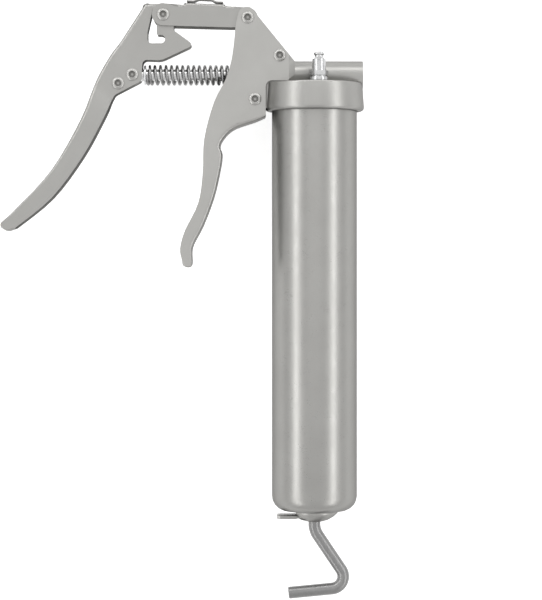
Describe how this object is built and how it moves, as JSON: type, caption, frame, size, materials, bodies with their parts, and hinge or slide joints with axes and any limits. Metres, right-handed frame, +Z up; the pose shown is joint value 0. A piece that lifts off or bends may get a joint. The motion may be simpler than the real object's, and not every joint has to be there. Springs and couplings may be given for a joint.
{
  "type": "hand lever grease gun",
  "caption": "Hand grease gun with a pistol lever linkage, sprung plunger pump, screw-on barrel, follower piston and a bent pull rod with a lock lever.",
  "frame": {"origin": "centre of the outlet's threaded mouth, on the pump's axis", "axes": "+X along the pump out of the outlet, +Y along the barrel towards the head, +Z up from the side that the gun lies on"},
  "size_m": [0.2426, 0.4063, 0.0664],
  "materials": {
    "painted_casting": "satin silver-grey metallic paint on a casting",
    "painted_pressing": "satin silver-grey metallic paint on pressed steel",
    "painted_tube": "satin silver-grey metallic paint on drawn tube",
    "rivet_steel": "painted over, satin",
    "zinc_plate": "bright zinc plate",
    "bright_steel": "ground steel",
    "spring_steel": "drawn spring wire, zinc plated",
    "dark_steel": "stamped steel plate",
    "zinc_rod": "satin plated round bar",
    "black_rubber": "oil resistant rubber"
  },
  "bodies": {
    "head": {"head_casting": "painted_casting", "barrel_gasket": "black_rubber", "plunger_gland": "zinc_plate", "plunger_seal": "black_rubber", "outlet_spring": "spring_steel", "outlet_retainer": "zinc_plate", "nipple_body": "zinc_plate", "nipple_washer": "zinc_plate", "fixed_handle": "painted_pressing", "upper_bracket_rivet": "rivet_steel", "lower_bracket_rivet": "rivet_steel", "link_pivot_rivet": "rivet_steel", "return_spring": "spring_steel"},
    "outlet_ball": {"outlet_ball": "bright_steel"},
    "nipple_ball": {"nipple_ball": "bright_steel"},
    "plunger": {"plunger": "bright_steel", "spring_seat": "zinc_plate"},
    "lever": {"moving_lever": "painted_pressing", "plunger_pin_rivet": "rivet_steel", "lever_spacer_rivet": "rivet_steel"},
    "link": {"link_channel": "painted_pressing", "slot_pin_rivet": "rivet_steel", "hanger_strap": "painted_pressing"},
    "barrel": {"barrel_tube": "painted_tube", "lock_cup": "painted_tube", "lock_spring": "spring_steel", "follower_spring": "spring_steel"},
    "lock_lever": {"lock_lever": "dark_steel"},
    "piston": {"piston_plate": "zinc_plate", "cup_seal": "black_rubber", "piston_washer": "zinc_plate"},
    "rod": {"follower_rod": "zinc_rod", "rod_nut": "zinc_plate"}
  },
  "joints": [
    {"name": "plunger_push", "type": "slide", "parent": "head", "child": "plunger", "axis": [1, 0, 0], "range_m": [0, 0.0232], "stiffness_N_per_m": 1200, "springref_m": -0.01, "deforming": ["return_spring"]},
    {"name": "lever_squeeze", "type": "hinge", "parent": "plunger", "child": "lever", "pos_m": [-0.15409, 0, 0], "axis": [0, 0, 1], "range_deg": [0, 30]},
    {"name": "link_swing", "type": "hinge", "parent": "head", "child": "link", "pos_m": [-0.077, 0.0377, 0], "axis": [0, 0, -1], "range_deg": [0, 6.2]},
    {"name": "barrel_unscrew", "type": "slide", "parent": "head", "child": "barrel", "axis": [0, -1, 0], "range_m": [0, 0.03]},
    {"name": "lock_release", "type": "hinge", "parent": "barrel", "child": "lock_lever", "pos_m": [-0.0264, -0.2954, 0], "axis": [0, 0, -1], "range_deg": [0, 4], "stiffness_Nm_per_rad": 0.5, "springref_deg": -5.73, "deforming": ["lock_spring"]},
    {"name": "follower_pull", "type": "slide", "parent": "barrel", "child": "piston", "axis": [0, -1, 0], "range_m": [0, 0.23], "stiffness_N_per_m": 300, "springref_m": -0.05, "deforming": ["follower_spring"]},
    {"name": "rod_turn", "type": "hinge", "parent": "piston", "child": "rod", "pos_m": [-0.0324, -0.299, 0], "axis": [0, -1, 0], "continuous": true},
    {"name": "outlet_lift", "type": "slide", "parent": "head", "child": "outlet_ball", "axis": [1, 0, 0], "range_m": [0, 0.001], "stiffness_N_per_m": 400, "springref_m": -0.001, "deforming": ["outlet_spring"]},
    {"name": "nipple_lift", "type": "slide", "parent": "head", "child": "nipple_ball", "axis": [0, -1, 0], "range_m": [0, 0.0008], "stiffness_N_per_m": 200, "springref_m": -0.001}
  ],
  "couplings": [
    {"joint": "plunger_push", "follows": "lever_squeeze", "m_per_rad": 0.04383},
    {"joint": "link_swing", "follows": "lever_squeeze", "ratio": 0.2}
  ]
}
